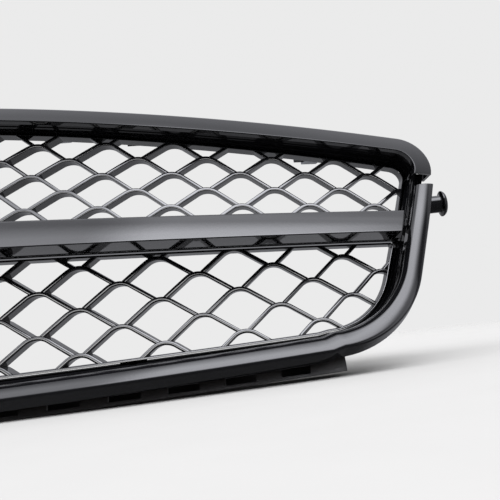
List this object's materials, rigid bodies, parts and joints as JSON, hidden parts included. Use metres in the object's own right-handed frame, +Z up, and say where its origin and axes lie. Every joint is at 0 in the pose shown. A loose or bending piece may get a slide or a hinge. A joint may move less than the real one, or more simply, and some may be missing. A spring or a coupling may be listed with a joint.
{
  "type": "front grille",
  "caption": "Bowed front grille of a passenger car: an arched surround with lattice panels of arched cells, one blade across the middle and a plain round badge.",
  "frame": {"origin": "middle of the footprint: halfway across the width and the depth, level with the foot of the lower rail", "axes": "+X to the right as seen from in front of the car, +Y into the car (to its rear), +Z up"},
  "size_m": [0.7182, 0.1946, 0.1898],
  "materials": {
    "rim_black": "polished gloss black moulding",
    "blade_black": "polished gloss black moulding",
    "trim_black": "polished gloss black moulding",
    "lattice_black": "gloss black as moulded",
    "frame_black": "gloss black as moulded",
    "rail_black": "satin black as moulded",
    "badge_black": null,
    "coated_steel": "black dipped steel",
    "zinc_steel": "zinc plated"
  },
  "bodies": {
    "root": {"badge_carrier": "frame_black", "badge_nut_1": "zinc_steel", "badge_nut_2": "zinc_steel", "badge_nut_3": "zinc_steel", "badge_nut_4": "zinc_steel", "badge_plate": "badge_black", "badge_ring": "badge_black", "blade_left": "blade_black", "blade_right": "blade_black", "blade_shelf_left": "frame_black", "blade_shelf_right": "frame_black", "bracket_screw_1": "zinc_steel", "bracket_screw_2": "zinc_steel", "bracket_screw_3": "zinc_steel", "bracket_screw_4": "zinc_steel", "hood_bracket_1": "coated_steel", "hood_bracket_2": "coated_steel", "hood_bracket_3": "coated_steel", "hood_bracket_4": "coated_steel", "lower_lattice_left": "lattice_black", "lower_lattice_right": "lattice_black", "lower_rail": "rail_black", "lower_trim": "trim_black", "panel_tab_1": "coated_steel", "panel_tab_2": "coated_steel", "panel_tab_3": "coated_steel", "panel_tab_4": "coated_steel", "panel_tab_5": "coated_steel", "panel_tab_6": "coated_steel", "panel_tab_7": "coated_steel", "panel_tab_8": "coated_steel", "rail_screw_1": "zinc_steel", "rail_screw_2": "zinc_steel", "rail_screw_3": "zinc_steel", "rail_screw_4": "zinc_steel", "rail_screw_5": "zinc_steel", "rail_screw_6": "zinc_steel", "side_stud_left": "frame_black", "side_stud_right": "frame_black", "spring_nut_1": "zinc_steel", "spring_nut_2": "zinc_steel", "spring_nut_3": "zinc_steel", "spring_nut_4": "zinc_steel", "surround_frame": "frame_black", "tab_screw_1": "zinc_steel", "tab_screw_2": "zinc_steel", "tab_screw_3": "zinc_steel", "tab_screw_4": "zinc_steel", "tab_screw_5": "zinc_steel", "tab_screw_6": "zinc_steel", "tab_screw_7": "zinc_steel", "tab_screw_8": "zinc_steel", "top_rim": "rim_black", "upper_lattice_left": "lattice_black", "upper_lattice_right": "lattice_black"}
  },
  "joints": []
}
